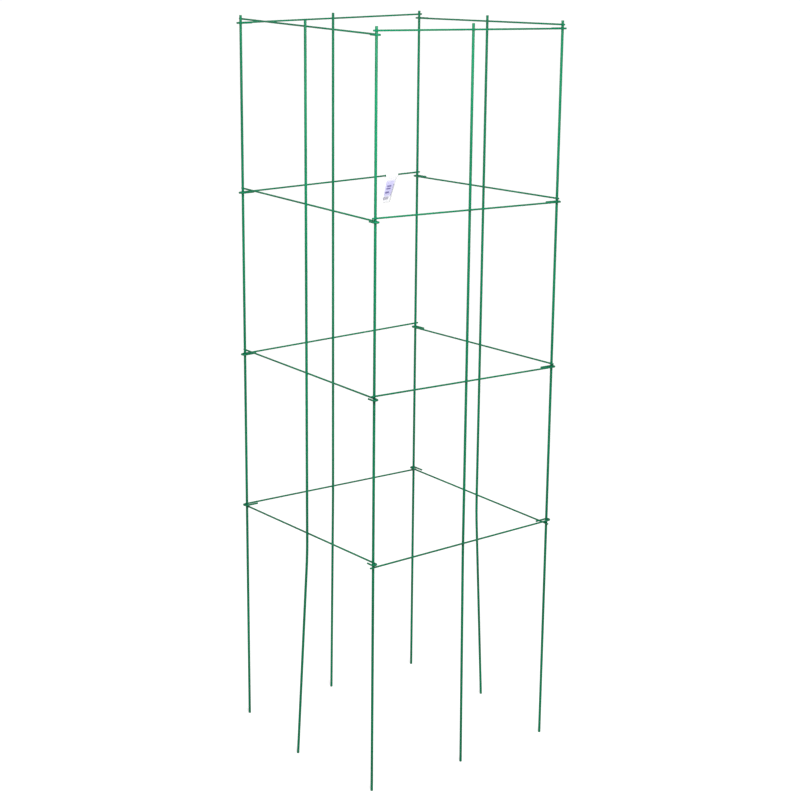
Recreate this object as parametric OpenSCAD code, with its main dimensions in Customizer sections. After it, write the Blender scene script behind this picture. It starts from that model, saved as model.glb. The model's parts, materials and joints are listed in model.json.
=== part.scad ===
// Folding square tomato cage: four welded wire panels, hinged to each other by hairpin eyes.
// Millimetres, +Z up, the leg tips stand on z = 0 and the cage is centred on the Z axis.
// Seen from above the panels follow each other anticlockwise: front, right, back, left.
// Every panel owns the corner upright at its start, and its rail eyes hold the next panel's upright.

/* [Cage] */
// Distance between the axes of neighbouring corner uprights
cage_w = 356; // [280:1:460]
// Height of the bottom rail's weld above the ground
leg_h = 377; // [250:1:480]
// Rise from the bottom rail's weld to the next rail's weld
first_gap = 271; // [180:1:340]
// Rise between the welds of the upper rails
tier_pitch = 267; // [180:1:340]
// Length of upright standing above the top rail's weld
top_stub = 6; // [3:0.5:30]

/* [Wire] */
// Diameter of the coated upright wire
upright_d = 4.2; // [3:0.1:6]
// Diameter of the coated rail wire
rail_d = 2.8; // [2:0.1:4]
// Depth that crossing wires are fused into each other by the spot weld
weld_sink = 0.25; // [0.1:0.05:0.5]
// Length of rail standing past the corner upright's axis at its welded end
weld_overrun = 8; // [3:0.5:12]
// Chamfer that shearing leaves on each cut wire end
end_chamfer = 0.3; // [0.1:0.05:0.6]

/* [Hinge eyes] */
// Gap between the rail and the upright that its eye holds
eye_clear = 0.35; // [0.3:0.05:1]
// Gap between the tail of the eye and the upright
tail_clear = 1.15; // [0.5:0.05:3]
// Gap between the bow of the eye and the upright
bow_clear = 2.4; // [0.5:0.05:5]
// Distance from the upright's axis to the end of the tail
tail_len = 18.5; // [12:0.5:40]
// The same on the left panel, whose eyes close the cage
closing_tail_len = 8.5; // [7:0.5:40]
// Drop of the eye below its own weld on the three upper tiers
eye_drop = 6; // [5:0.25:12]
// Rise of the eye above its own weld on the bottom tier
eye_rise = 4.5; // [4:0.25:12]

/* [Legs] */
// Distance that the middle leg tips on the left and right panels stand out of line
side_splay = 20; // [8:0.5:45]
// Distance that the middle leg tips on the front and back panels stand out of line
face_splay = 5; // [2:0.5:45]
// Distance from the bottom rail's weld down to the start of the bend that splays a middle leg
bend_start = 8; // [6:1:60]
// Radius of that bend along the wire's axis
leg_bend_r = 800; // [100:10:2000]

/* [Tag] */
// Width of the folded paper tag along the rail
tag_w = 25; // [15:1:60]
// Length of the tag below the rail's axis
tag_h = 51; // [25:1:80]
// Thickness of one ply of the tag
tag_t = 0.3; // [0.2:0.05:0.6]
// Gap between the tag's fold and the rail
tag_fit = 0.3; // [0.2:0.05:1]
// Distance from the back corner upright's axis to the middle of the tag
tag_along = 53; // [40:1:120]
// Lean of the tag away from the cage, in degrees
tag_lean = 18; // [0:1:60]

/* [Hidden] */
$fn = 48;
// Facets round a wire and along a full turn of a leg's bend, where curves are drawn as facets
wire_fn = 48;
leg_fn = 720;

PANELS = ["front", "right", "back", "left"];
TIERS = ["bottom", "lower", "upper", "top"];
// The rail that carries the tag: its panel and its tier
TAG_RAIL = [index_of("back", PANELS), index_of("upper", TIERS)];

upright_r = upright_d / 2;
rail_r = rail_d / 2;
upright_h = weld_z(len(TIERS) - 1) + top_stub;
// Height at which a middle upright ends and its bent leg starts
bend_z = leg_h - bend_start;

// Sideways offset of a rail's axis from its own corner upright, and from the upright in its eye
weld_off = upright_r + rail_r - weld_sink;
eye_off = upright_r + rail_r + eye_clear;
// Radius of the bow along the wire's axis, and how far its centre lies past the held upright
bow_r = rail_r + upright_r + (eye_clear + tail_clear) / 2;
bow_past = upright_r + bow_clear + rail_r - bow_r;

// A splayed leg is this much thinner than its bend, and starts this far up inside it
leg_step = 0.02;
leg_lap = 1;

coat_green = [0.16, 0.42, 0.31];
tag_white = [0.93, 0.92, 0.97];

function index_of(name, names) = search([name], names)[0];
// Rails lie inside the uprights on the left and right panels (+1), outside on the other two (-1)
function rail_side(panel) = panel % 2 == 0 ? -1 : 1;
function splay(panel) = panel % 2 == 0 ? face_splay : side_splay;
function weld_z(tier) = tier == 0 ? leg_h : leg_h + first_gap + (tier - 1) * tier_pitch;
function eye_shift(tier) = tier == 0 ? eye_rise : -eye_drop;
function tail(panel) = PANELS[panel] == "left" ? closing_tail_len : tail_len;
// From a rail's weld to the point beside the upright that its eye holds
function rail_run(panel, tier) = [cage_w, rail_side(panel) * (eye_off - weld_off), eye_shift(tier)];

// A panel's own frame: x from its corner upright along the panel, y towards the inside of the cage
module on_panel(panel) {
    rotate([0, 0, panel * 360 / len(PANELS)])
        translate([-cage_w / 2, -cage_w / 2, 0])
            children();
}

// A rail's own frame: origin at its weld, x along the wire
module on_rail(panel, tier) {
    run = rail_run(panel, tier);
    on_panel(panel)
        translate([0, rail_side(panel) * weld_off, weld_z(tier)])
            rotate([0, -asin(run[2] / norm(run)), atan2(run[1], run[0])])
                children();
}

// A straight length of wire along z, with its cut ends chamfered
module wire(r, length, cut_start = true, cut_end = true) {
    start = cut_start ? [[r - end_chamfer, 0], [r, end_chamfer]] : [[r, 0]];
    end = cut_end ? [[r, length - end_chamfer], [r - end_chamfer, length]] : [[r, length]];
    rotate_extrude()
        polygon(concat([[0, 0]], start, end, [[0, length]]));
}

// A bend of wire about z, from the x axis round by the given angle
module bend(wire_r, bend_r, angle, turn_fn = $fn) {
    rotate_extrude(angle = angle, $fn = turn_fn)
        translate([bend_r, 0])
            circle(r = wire_r, $fn = wire_fn);
}

module corner_upright(panel) {
    color(coat_green)
        on_panel(panel)
            wire(upright_r, upright_h);
}

// A middle upright's own frame: origin on its axis, where the leg below it starts to bend
module on_mid(panel) {
    // The upright touches its rails where they have drifted half way to the eye's offset
    drift = rail_side(panel) * (eye_off - weld_off) / 2;
    on_panel(panel)
        translate([cage_w / 2, drift, bend_z])
            children();
}

module mid_upright(panel) {
    color(coat_green)
        on_mid(panel)
            wire(upright_r, upright_h - bend_z, cut_start = false);
}

// The leg is the same wire as the upright above it, bent outwards just below the bottom rail
module mid_leg(panel) {
    // The bend turns until the straight leg below it points at the splayed tip
    to_tip = [leg_bend_r - splay(panel), bend_z];
    turn = atan2(to_tip[1], to_tip[0]) - acos(leg_bend_r / norm(to_tip));
    leg_r = upright_r - leg_step;
    // The lowest point of the cut end's rim comes down to the ground
    leg_len = (bend_z - (leg_bend_r + leg_r - end_chamfer) * sin(turn)) / cos(turn);
    color(coat_green)
        on_mid(panel)
            translate([0, -leg_bend_r, 0])
                rotate([0, -90, 0])
                    rotate([0, 0, 90]) {
                        bend(upright_r, leg_bend_r, turn, leg_fn);
                        rotate([0, 0, turn])
                            translate([leg_bend_r, -leg_lap, 0])
                                rotate([-90, 0, 0])
                                    wire(leg_r, leg_lap + leg_len, cut_start = false);
                    }
}

module rail(panel, tier) {
    span = norm(rail_run(panel, tier)) + bow_past;
    tail_side = -rail_side(panel);
    color(coat_green)
        on_rail(panel, tier) {
            translate([-weld_overrun, 0, 0])
                rotate([0, 90, 0])
                    wire(rail_r, weld_overrun + span, cut_end = false);
            translate([span, tail_side * bow_r, 0])
                rotate([0, 0, -90])
                    bend(rail_r, bow_r, 180);
            translate([span, tail_side * 2 * bow_r, 0])
                rotate([0, -90, 0])
                    wire(rail_r, tail(panel) + bow_past, cut_start = false);
        }
}

// The tag is a strip folded over its rail, with its two plies stuck together below
module hang_tag() {
    fold_r = rail_r + tag_fit;
    color(tag_white)
        on_rail(TAG_RAIL[0], TAG_RAIL[1])
            translate([tag_along - tag_w / 2, 0, 0])
                rotate([-tag_lean, 0, 0])
                    difference() {
                        union() {
                            rotate([0, 90, 0])
                                cylinder(r = fold_r + tag_t, h = tag_w);
                            translate([0, -tag_t, -tag_h])
                                cube([tag_w, 2 * tag_t, tag_h]);
                        }
                        translate([-tag_w / 2, 0, 0])
                            rotate([0, 90, 0])
                                cylinder(r = fold_r, h = 2 * tag_w);
                    }
}

for (p = [0 : len(PANELS) - 1]) {
    corner_upright(p);
    mid_upright(p);
    mid_leg(p);
    for (t = [0 : len(TIERS) - 1])
        rail(p, t);
}
hang_tag();
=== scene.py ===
"""Folding square tomato cage: green coated wire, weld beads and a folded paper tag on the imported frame.

Metres, +Z up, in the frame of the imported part. The camera stands where the photograph was taken from.
"""

import json
import math
import random

import bmesh
import bpy
from mathutils import Matrix, Vector


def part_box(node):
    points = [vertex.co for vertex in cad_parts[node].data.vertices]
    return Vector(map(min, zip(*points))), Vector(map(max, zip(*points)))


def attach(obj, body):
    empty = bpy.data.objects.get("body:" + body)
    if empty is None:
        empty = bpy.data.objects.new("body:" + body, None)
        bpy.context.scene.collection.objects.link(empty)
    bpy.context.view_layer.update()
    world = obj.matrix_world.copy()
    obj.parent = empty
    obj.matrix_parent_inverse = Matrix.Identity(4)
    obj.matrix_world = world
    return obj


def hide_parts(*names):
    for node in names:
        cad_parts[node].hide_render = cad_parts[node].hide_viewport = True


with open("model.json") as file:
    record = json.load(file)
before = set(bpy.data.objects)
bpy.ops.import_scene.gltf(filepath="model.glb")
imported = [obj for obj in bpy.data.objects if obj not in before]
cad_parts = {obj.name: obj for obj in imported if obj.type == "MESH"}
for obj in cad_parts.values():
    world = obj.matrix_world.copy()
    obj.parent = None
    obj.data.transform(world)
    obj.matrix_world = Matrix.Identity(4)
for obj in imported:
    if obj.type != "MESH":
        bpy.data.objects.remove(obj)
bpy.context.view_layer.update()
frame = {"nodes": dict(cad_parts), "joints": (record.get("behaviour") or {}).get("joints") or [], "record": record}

MM = 0.001

# Each panel's direction from its corner upright along its rails, and the side of the uprights its rails lie on
PANELS = {
    "front": (Vector((1, 0, 0)), Vector((0, -1, 0))),
    "right": (Vector((0, 1, 0)), Vector((-1, 0, 0))),
    "back": (Vector((-1, 0, 0)), Vector((0, 1, 0))),
    "left": (Vector((0, -1, 0)), Vector((1, 0, 0))),
}
TIERS = ("bottom", "lower", "upper", "top")

UPRIGHT_R = 2.1 * MM
RAIL_R = 1.4 * MM
WELD_SINK = 0.25 * MM

# Photograph's camera: place, heading from +Y towards +X, angle below the horizon, roll,
# and lens on a 36 mm sensor
CAMERA_AT = Vector((-1.692, -2.202, 1.3206))
CAMERA_HEADING = math.radians(37.67)
CAMERA_DOWN = math.radians(15.03)
CAMERA_ROLL = math.radians(0.59)
CAMERA_LENS = 78.93


def srgb(red, green, blue):
    """A colour given as 0 to 255 screen values, as the linear RGBA that shaders take."""
    def linear(value):
        share = value / 255
        return share / 12.92 if share <= 0.04045 else ((share + 0.055) / 1.055) ** 2.4
    return (linear(red), linear(green), linear(blue), 1.0)


# Node helpers


def add(tree, kind, inputs=None, **settings):
    """Adds a shader node, with its properties set and its inputs set or linked by name or number."""
    node = tree.nodes.new("ShaderNode" + kind)
    for key, value in settings.items():
        setattr(node, key, value)
    for key, value in (inputs or {}).items():
        if isinstance(value, bpy.types.NodeSocket):
            tree.links.new(value, node.inputs[key])
        else:
            node.inputs[key].default_value = value
    return node


def calc(tree, operation, first, second=0.0):
    """The result of one sum on two sockets or numbers."""
    return add(tree, "Math", {0: first, 1: second}, operation=operation).outputs[0]


def remap(tree, value, low, high, out_low=0.0, out_high=1.0):
    """A value smoothly stepped from one range to another."""
    inputs = {"Value": value, "From Min": low, "From Max": high, "To Min": out_low, "To Max": out_high}
    return add(tree, "MapRange", inputs, interpolation_type="SMOOTHSTEP").outputs["Result"]


def noise(tree, place, scale, detail=2.0, roughness=0.5):
    inputs = {"Vector": place, "Scale": scale, "Detail": detail, "Roughness": roughness}
    return add(tree, "TexNoise", inputs).outputs["Fac"]


def tint(tree, share, below, above):
    """Mixes two colours, each a socket or a fixed colour."""
    node = add(tree, "Mix", data_type="RGBA")
    for socket, value in ((node.inputs[0], share), (node.inputs[6], below), (node.inputs[7], above)):
        if isinstance(value, bpy.types.NodeSocket):
            tree.links.new(value, socket)
        else:
            socket.default_value = value
    return node.outputs[2]


def new_material(name):
    material = bpy.data.materials.new(name)
    material.use_nodes = True
    material.node_tree.nodes.clear()
    return material, material.node_tree


def surface(tree, shader):
    add(tree, "OutputMaterial", {"Surface": shader.outputs[0]})


# Materials

COAT_DEEP = srgb(0, 95, 62)
COAT_GREEN = srgb(0, 110, 72)
COAT_PALE = srgb(8, 128, 90)
COAT_GLOSS = 0.14
COAT_RELIEF = 0.03 * MM
# Texture scales, in repeats per metre, and the scale along the wire that draws out the die marks
CLOUD_SCALE = 7.0
MOTTLE_SCALE = 420.0
MARKS_SCALE = 2600.0
PEEL_SCALE = 1500.0
NIB_SCALE = 210.0
GRAIN_STRETCH = 0.012


def coat_material(name, along):
    """Satin green coating over drawn wire, whose die marks run along the wire's direction."""
    material, tree = new_material(name)
    place = add(tree, "TexCoord").outputs["Object"]
    stretch = [GRAIN_STRETCH if share else 1.0 for share in along]
    drawn = add(tree, "Mapping", {"Vector": place, "Scale": stretch}).outputs["Vector"]

    # Slow changes of tone along the wires, then a fine mottle, die marks, orange peel and nibs
    cloud = noise(tree, place, CLOUD_SCALE, 3.0)
    mottle = noise(tree, place, MOTTLE_SCALE, 3.0, 0.6)
    marks = noise(tree, drawn, MARKS_SCALE, 2.0)
    peel = noise(tree, place, PEEL_SCALE, 1.5)
    nibs = add(tree, "TexVoronoi", {"Vector": place, "Scale": NIB_SCALE, "Randomness": 1.0}).outputs["Distance"]
    nib = remap(tree, nibs, 0.07, 0.16, 1.0, 0.0)

    tone = tint(tree, remap(tree, cloud, 0.34, 0.66), COAT_DEEP, COAT_GREEN)
    tone = tint(tree, remap(tree, mottle, 0.42, 0.82, 0.0, 0.45), tone, COAT_PALE)
    tone = tint(tree, remap(tree, marks, 0.55, 0.75, 0.0, 0.25), tone, COAT_DEEP)
    tone = tint(tree, calc(tree, "MULTIPLY", nib, 0.35), tone, COAT_PALE)

    fine = remap(tree, mottle, 0.3, 0.7, 0.33, 0.47)
    rough = calc(tree, "ADD", fine, remap(tree, cloud, 0.3, 0.7, 0.0, 0.06))
    height = calc(tree, "ADD", calc(tree, "MULTIPLY", peel, 0.6), calc(tree, "MULTIPLY", marks, 0.25))
    height = calc(tree, "ADD", height, calc(tree, "MULTIPLY", nib, 0.5))
    bump = add(tree, "Bump", {"Height": height, "Strength": 0.55, "Distance": COAT_RELIEF}).outputs["Normal"]

    surface(tree, add(tree, "BsdfPrincipled", {
        "Base Color": tone, "Roughness": rough, "Normal": bump, "Specular IOR Level": COAT_GLOSS,
    }))
    return material


PAPER_WHITE = srgb(252, 252, 254)
PAPER_CREAM = srgb(240, 238, 246)
PRINT_LAVENDER = srgb(194, 189, 235)
# Violet of the printed bars, also used for the painted shade along the tag's right edge
VIOLET_PRINT_AND_EDGE_SHADE = srgb(106, 97, 155)
PRINT_GREY = srgb(118, 112, 143)
PAPER_GLOSS = 0.3
PAPER_RELIEF = 0.04 * MM
FIBRE_SCALE = 900.0
PAPER_CLOUD_SCALE = 120.0

# Patches on the tag, all print but the dark line near the right edge, which is painted shade of the leaf's edge:
# share across from and to, share down from and to
PATCH_TINT = (0.15, 0.92, 0.19, 0.77)
PATCH_BARS = (
    (0.34, 0.74, 0.37, 0.43),
    (0.32, 0.72, 0.465, 0.52),
    (0.25, 0.66, 0.595, 0.66),
)
# A dark line painted near the tag's right edge: the shade of the leaf's edge, not print
PAINTED_EDGE_SHADE = (0.895, 0.95, 0.33, 0.78)
PATCH_CODE = (0.05, 0.75, 0.785, 0.895)
CODE_BARS = 26.0
# Softness of the patches' edges, how much ink each printed patch takes, and how dark the painted edge shade is
EDGE_SOFT = 0.012
TINT_SOFT = 0.07
TINT_INK = 0.85
EDGE_SHADE_STRENGTH = 0.7
CODE_INK = 0.9


def patch(tree, across, down, edges, soft=EDGE_SOFT):
    """A mask that is 1 inside a rectangle of the tag's face."""
    left, right, top, bottom = edges
    inside = remap(tree, across, left - soft, left + soft)
    for value, edge, start in ((across, right, 1.0), (down, top, 0.0), (down, bottom, 1.0)):
        step = remap(tree, value, edge - soft, edge + soft, start, 1.0 - start)
        inside = calc(tree, "MULTIPLY", inside, step)
    return inside


def paper_material(name):
    """Thin uncoated card with fibres and plain violet print (bars and a row of strokes), and a dark line painted
    near one edge as the shade of the leaf's edge.
    """
    material, tree = new_material(name)
    uv = add(tree, "UVMap").outputs["UV"]
    split = add(tree, "SeparateXYZ", {"Vector": uv})
    across, down = split.outputs["X"], split.outputs["Y"]
    place = add(tree, "TexCoord").outputs["Object"]
    fibre = noise(tree, place, FIBRE_SCALE, 4.0, 0.65)
    cloud = noise(tree, place, PAPER_CLOUD_SCALE, 2.0)

    tone = tint(tree, remap(tree, cloud, 0.3, 0.7, 0.0, 0.4), PAPER_WHITE, PAPER_CREAM)
    wash = calc(tree, "MULTIPLY", patch(tree, across, down, PATCH_TINT, TINT_SOFT), TINT_INK)
    tone = tint(tree, wash, tone, PRINT_LAVENDER)
    # Painted shade along the leaf's right edge, then the printed bars
    print_and_edge_shade = calc(tree, "MULTIPLY", patch(tree, across, down, PAINTED_EDGE_SHADE), EDGE_SHADE_STRENGTH)
    for edges in PATCH_BARS:
        print_and_edge_shade = calc(tree, "MAXIMUM", print_and_edge_shade, patch(tree, across, down, edges))
    # The ink and the painted edge shade lie a little unevenly on the fibres
    print_and_edge_shade = calc(tree, "MULTIPLY", print_and_edge_shade, remap(tree, fibre, 0.25, 0.6, 0.72, 1.0))
    tone = tint(tree, print_and_edge_shade, tone, VIOLET_PRINT_AND_EDGE_SHADE)
    strokes = calc(tree, "SINE", calc(tree, "MULTIPLY", across, CODE_BARS * math.tau))
    code = calc(tree, "MULTIPLY", patch(tree, across, down, PATCH_CODE), remap(tree, strokes, -0.9, -0.3))
    tone = tint(tree, calc(tree, "MULTIPLY", code, CODE_INK), tone, PRINT_GREY)

    rough = remap(tree, fibre, 0.3, 0.7, 0.55, 0.75)
    bump = add(tree, "Bump", {"Height": fibre, "Strength": 0.35, "Distance": PAPER_RELIEF}).outputs["Normal"]
    surface(tree, add(tree, "BsdfPrincipled", {
        "Base Color": tone, "Roughness": rough, "Normal": bump, "Specular IOR Level": PAPER_GLOSS,
    }))
    return material


# Mesh helper


def mesh_piece(name, mesh, material):
    """Turns a bmesh into a smooth shaded object in the scene."""
    data = bpy.data.meshes.new(name)
    mesh.to_mesh(data)
    mesh.free()
    for face in data.polygons:
        face.use_smooth = True
    data.materials.append(material)
    piece = bpy.data.objects.new(name, data)
    bpy.context.scene.collection.objects.link(piece)
    return piece


# Wires

# Depth below the top of an upright that counts as its end face
END_FACE = 0.1 * MM


def finish_wires():
    """Gives the CAD wires their coating, with the grain along each wire, and returns the uprights' coating."""
    upright = coat_material("coated_upright_wire", Vector((0, 0, 1)))
    rails = {
        "front": coat_material("coated_rail_wire_x", Vector((1, 0, 0))),
        "right": coat_material("coated_rail_wire_y", Vector((0, 1, 0))),
    }
    rails["back"], rails["left"] = rails["front"], rails["right"]
    for panel in PANELS:
        for node_name in frame["record"]["behaviour"]["bodies"][panel + "_panel"]:
            node = frame["nodes"][node_name]
            coat = rails[panel] if "_rail_" in node_name else upright
            node.data.materials.clear()
            node.data.materials.append(coat)
    return upright


def top_of(node_name):
    """The middle of an upright's top end."""
    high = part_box(node_name)[1].z
    corners = [v.co for v in frame["nodes"][node_name].data.vertices if v.co.z > high - END_FACE]
    return sum(corners, Vector()) / len(corners)


# Weld beads: the metal squeezed out where a rail is spot-welded to an upright, under the coating

BEAD_ALONG_UPRIGHT = 1.75 * MM
BEAD_ALONG_RAIL = 1.85 * MM
BEAD_DEEP = 0.62 * MM
BEAD_SADDLE = 0.42 * MM
BEAD_RINGS = 10
BEAD_SIDES = 22
BEAD_UNEVEN = 0.12
BEAD_LOBES = 3
BEAD_RIPPLE = 0.05
BEAD_SEED = 7


def add_bead(mesh, centre, along_rail, off_upright, luck):
    """One closed saddle-shaped bead: it droops onto the upright and climbs onto the rail."""
    up = Vector((0, 0, 1))
    swell = [1 + luck.uniform(-BEAD_UNEVEN, BEAD_UNEVEN) for _ in range(3)]
    lean = luck.uniform(0, math.tau)

    def point(ring, side):
        polar = math.pi * ring / BEAD_RINGS
        turn = math.tau * side / BEAD_SIDES
        ripple = 1 + BEAD_RIPPLE * math.sin(BEAD_LOBES * turn + lean)
        a = math.sin(polar) * math.cos(turn) * ripple
        b = math.sin(polar) * math.sin(turn) * ripple
        height = BEAD_DEEP * swell[2] * math.cos(polar) + BEAD_SADDLE * (b * b - a * a)
        return (centre + up * a * BEAD_ALONG_UPRIGHT * swell[0]
                + along_rail * b * BEAD_ALONG_RAIL * swell[1] + off_upright * height)

    poles = [mesh.verts.new(point(0, 0)), mesh.verts.new(point(BEAD_RINGS, 0))]
    rings = [[mesh.verts.new(point(r, s)) for s in range(BEAD_SIDES)] for r in range(1, BEAD_RINGS)]
    for s in range(BEAD_SIDES):
        after = (s + 1) % BEAD_SIDES
        mesh.faces.new((poles[0], rings[0][s], rings[0][after]))
        mesh.faces.new((poles[1], rings[-1][after], rings[-1][s]))
        for low, high in zip(rings, rings[1:]):
            mesh.faces.new((low[s], high[s], high[after], low[after]))


def make_weld_beads(coat):
    """Two beads on each rail, at its corner upright and its middle upright; one piece for each panel."""
    luck = random.Random(BEAD_SEED)
    for panel, (along, off_upright) in PANELS.items():
        mesh = bmesh.new()
        corner = top_of(panel + "_corner_upright")
        span = 2 * (top_of(panel + "_mid_upright") - corner).dot(along)
        for tier in TIERS:
            low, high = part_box(f"{panel}_rail_{tier}")
            ends = (high.z - RAIL_R, low.z + RAIL_R)
            # The bottom rail climbs from its weld to its eye, and the others drop
            weld_z, eye_z = reversed(ends) if tier == "bottom" else ends
            for upright in ("corner", "mid"):
                axis = top_of(f"{panel}_{upright}_upright")
                share = (axis - corner).dot(along) / span
                centre = axis + off_upright * (UPRIGHT_R - WELD_SINK / 2)
                centre.z = weld_z + (eye_z - weld_z) * share
                add_bead(mesh, centre, along, off_upright, luck)
        bmesh.ops.recalc_face_normals(mesh, faces=mesh.faces)
        piece = mesh_piece(panel + "_weld_beads", mesh, coat)
        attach(piece, panel + "_panel")


# Tag: a strip of card folded over the rail, its plies stuck together below the fold

TAG_W = 25.0 * MM
TAG_LEN = 49.5 * MM
TAG_PLY = 0.28 * MM
TAG_PLY_GAP = 0.02 * MM
TAG_FOLD_R = RAIL_R + 0.45 * MM
TAG_JOIN = 9.0 * MM
TAG_LEAN = math.radians(18)
TAG_CURL = 0.6 * MM
TAG_CUP = 0.7 * MM
TAG_SKEW = 1.3 * MM
TAG_TILT = math.radians(7)
TAG_TWIST = math.radians(19)
TAG_STEPS_LEAF = 40
TAG_STEPS_FOLD = 16
TAG_STEPS_ACROSS = 16


def tag_path():
    """The strip's line seen from its end: (towards the inside, down from the rail's axis, share down)."""
    stuck = (TAG_PLY + TAG_PLY_GAP) / 2
    path = []
    for ply in (1, -1):
        leaf = []
        for step in range(TAG_STEPS_LEAF + 1):
            down = TAG_LEN * step / TAG_STEPS_LEAF
            ease = min(down / TAG_JOIN, 1)
            apart = stuck + (TAG_FOLD_R - stuck) * (1 - ease * ease * (3 - 2 * ease))
            leaf.append((ply * apart, down, down / TAG_LEN))
        if ply == 1:
            path += reversed(leaf)
            for step in range(1, TAG_STEPS_FOLD):
                turn = math.pi * step / TAG_STEPS_FOLD
                path.append((TAG_FOLD_R * math.cos(turn), -TAG_FOLD_R * math.sin(turn), 0.0))
        else:
            path += leaf
    return path


def make_tag():
    swing = next(joint for joint in frame["joints"] if joint["name"] == "tag_swing")
    rail_at = Vector(swing["pos_m"])
    along = Vector(swing["axis"]).normalized()
    down = Matrix.Rotation(TAG_LEAN, 3, along) @ along.cross(Vector((0, 1, 0))).normalized() * -1
    inward = along.cross(down).normalized()
    if inward.y > 0:
        inward.negate()

    mesh = bmesh.new()
    uv_layer = mesh.loops.layers.uv.new("print")
    path = tag_path()
    grid = []
    for index, (towards, drop, share) in enumerate(path):
        skew = TAG_SKEW * (index / (len(path) - 1) - 0.5)
        row = []
        for step in range(TAG_STEPS_ACROSS + 1):
            across = step / TAG_STEPS_ACROSS - 0.5
            bow = TAG_CURL * share ** 2 - TAG_CUP * share * (1 - (2 * across) ** 2)
            # The leaf twists about its edge at +along, so that its other edge comes inwards
            reach = (across - 0.5) * TAG_W
            bow -= reach * math.sin(TAG_TWIST * share)
            place = TAG_W / 2 + reach * math.cos(TAG_TWIST * share) + skew - drop * math.sin(TAG_TILT)
            lower = drop + across * TAG_W * math.sin(TAG_TILT) * share
            spot = rail_at + along * place + down * lower + inward * (towards + bow)
            row.append((mesh.verts.new(spot), (across + 0.5, share)))
        grid.append(row)
    for low, high in zip(grid, grid[1:]):
        for step in range(TAG_STEPS_ACROSS):
            corners = (low[step], low[step + 1], high[step + 1], high[step])
            face = mesh.faces.new([vert for vert, _ in corners])
            for loop, (_, uv) in zip(face.loops, corners):
                loop[uv_layer].uv = uv
    bmesh.ops.recalc_face_normals(mesh, faces=mesh.faces)

    tag = mesh_piece("paper_tag", mesh, paper_material("printed_card"))
    ply = tag.modifiers.new("ply", "SOLIDIFY")
    ply.thickness = TAG_PLY
    ply.offset = 0
    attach(tag, "hang_tag")
    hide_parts("hang_tag")


# Stage, lights and camera

FLOOR_HALF = 60.0
FLOOR_GREY = 0.80
FLOOR_LIFT = 0.37
AMBIENT = 0.44
SUN_STRENGTH = 1.6
SUN_SPREAD = math.radians(28)
SUN_FROM = Vector((-0.35, -0.75, 1.0))
# The softbox stands close to the cage's top, whose wires are the palest in the photograph
SOFTBOX_AT = Vector((-0.45, -0.7, 1.25))
SOFTBOX_SIZE = 0.3
SOFTBOX_POWER = 8.5
AIM_AT = Vector((0, 0, 1.15))


def seen_directly(tree):
    """1 on rays from the camera, or seen in gloss or through glass, and 0 on rays that carry light."""
    rays = add(tree, "LightPath").outputs
    seen = calc(tree, "MAXIMUM", rays["Is Camera Ray"], rays["Is Glossy Ray"])
    return calc(tree, "MAXIMUM", seen, rays["Is Transmission Ray"])


def make_floor():
    """A wide pale floor, lifted to white where it is seen, so that only shadows show on it."""
    material, tree = new_material("pale_floor")
    lift = calc(tree, "MULTIPLY", seen_directly(tree), FLOOR_LIFT)
    surface(tree, add(tree, "BsdfPrincipled", {
        "Base Color": (FLOOR_GREY, FLOOR_GREY, FLOOR_GREY, 1.0), "Roughness": 1.0, "Specular IOR Level": 0.0,
        "Emission Color": (1.0, 1.0, 1.0, 1.0), "Emission Strength": lift,
    }))
    mesh = bmesh.new()
    bmesh.ops.create_grid(mesh, x_segments=1, y_segments=1, size=FLOOR_HALF)
    mesh_piece("floor", mesh, material)


def make_world():
    """Even light from all round, seen as white."""
    world = bpy.data.worlds.new("studio")
    world.use_nodes = True
    tree = world.node_tree
    tree.nodes.clear()
    strength = remap(tree, seen_directly(tree), 0.0, 1.0, AMBIENT, 1.0)
    light = add(tree, "Background", {"Color": (1.0, 1.0, 1.0, 1.0), "Strength": strength})
    add(tree, "OutputWorld", {"Surface": light.outputs[0]})
    bpy.context.scene.world = world


def add_lamp(name, kind, energy, at, **settings):
    data = bpy.data.lights.new(name, kind)
    data.energy = energy
    for key, value in settings.items():
        setattr(data, key, value)
    lamp = bpy.data.objects.new(name, data)
    lamp.location = at
    lamp.rotation_euler = (AIM_AT - at).to_track_quat("-Z", "Y").to_euler()
    # Seen from behind the cage a lamp would glare through the wires
    lamp.visible_camera = False
    bpy.context.scene.collection.objects.link(lamp)


def make_camera():
    level = math.cos(CAMERA_DOWN)
    look = Vector((math.sin(CAMERA_HEADING) * level, math.cos(CAMERA_HEADING) * level, -math.sin(CAMERA_DOWN)))
    data = bpy.data.cameras.new("camera")
    data.lens = CAMERA_LENS
    camera = bpy.data.objects.new("camera", data)
    turn = look.to_track_quat("-Z", "Y").to_matrix().to_4x4() @ Matrix.Rotation(CAMERA_ROLL, 4, "Z")
    camera.matrix_world = Matrix.Translation(CAMERA_AT) @ turn
    bpy.context.scene.collection.objects.link(camera)
    bpy.context.scene.camera = camera


coat = finish_wires()
make_weld_beads(coat)
make_tag()
make_floor()
make_world()
add_lamp("sun", "SUN", SUN_STRENGTH, AIM_AT + SUN_FROM, angle=SUN_SPREAD)
add_lamp("softbox", "AREA", SOFTBOX_POWER, SOFTBOX_AT, size=SOFTBOX_SIZE)
make_camera()
bpy.context.scene.view_settings.view_transform = "Standard"
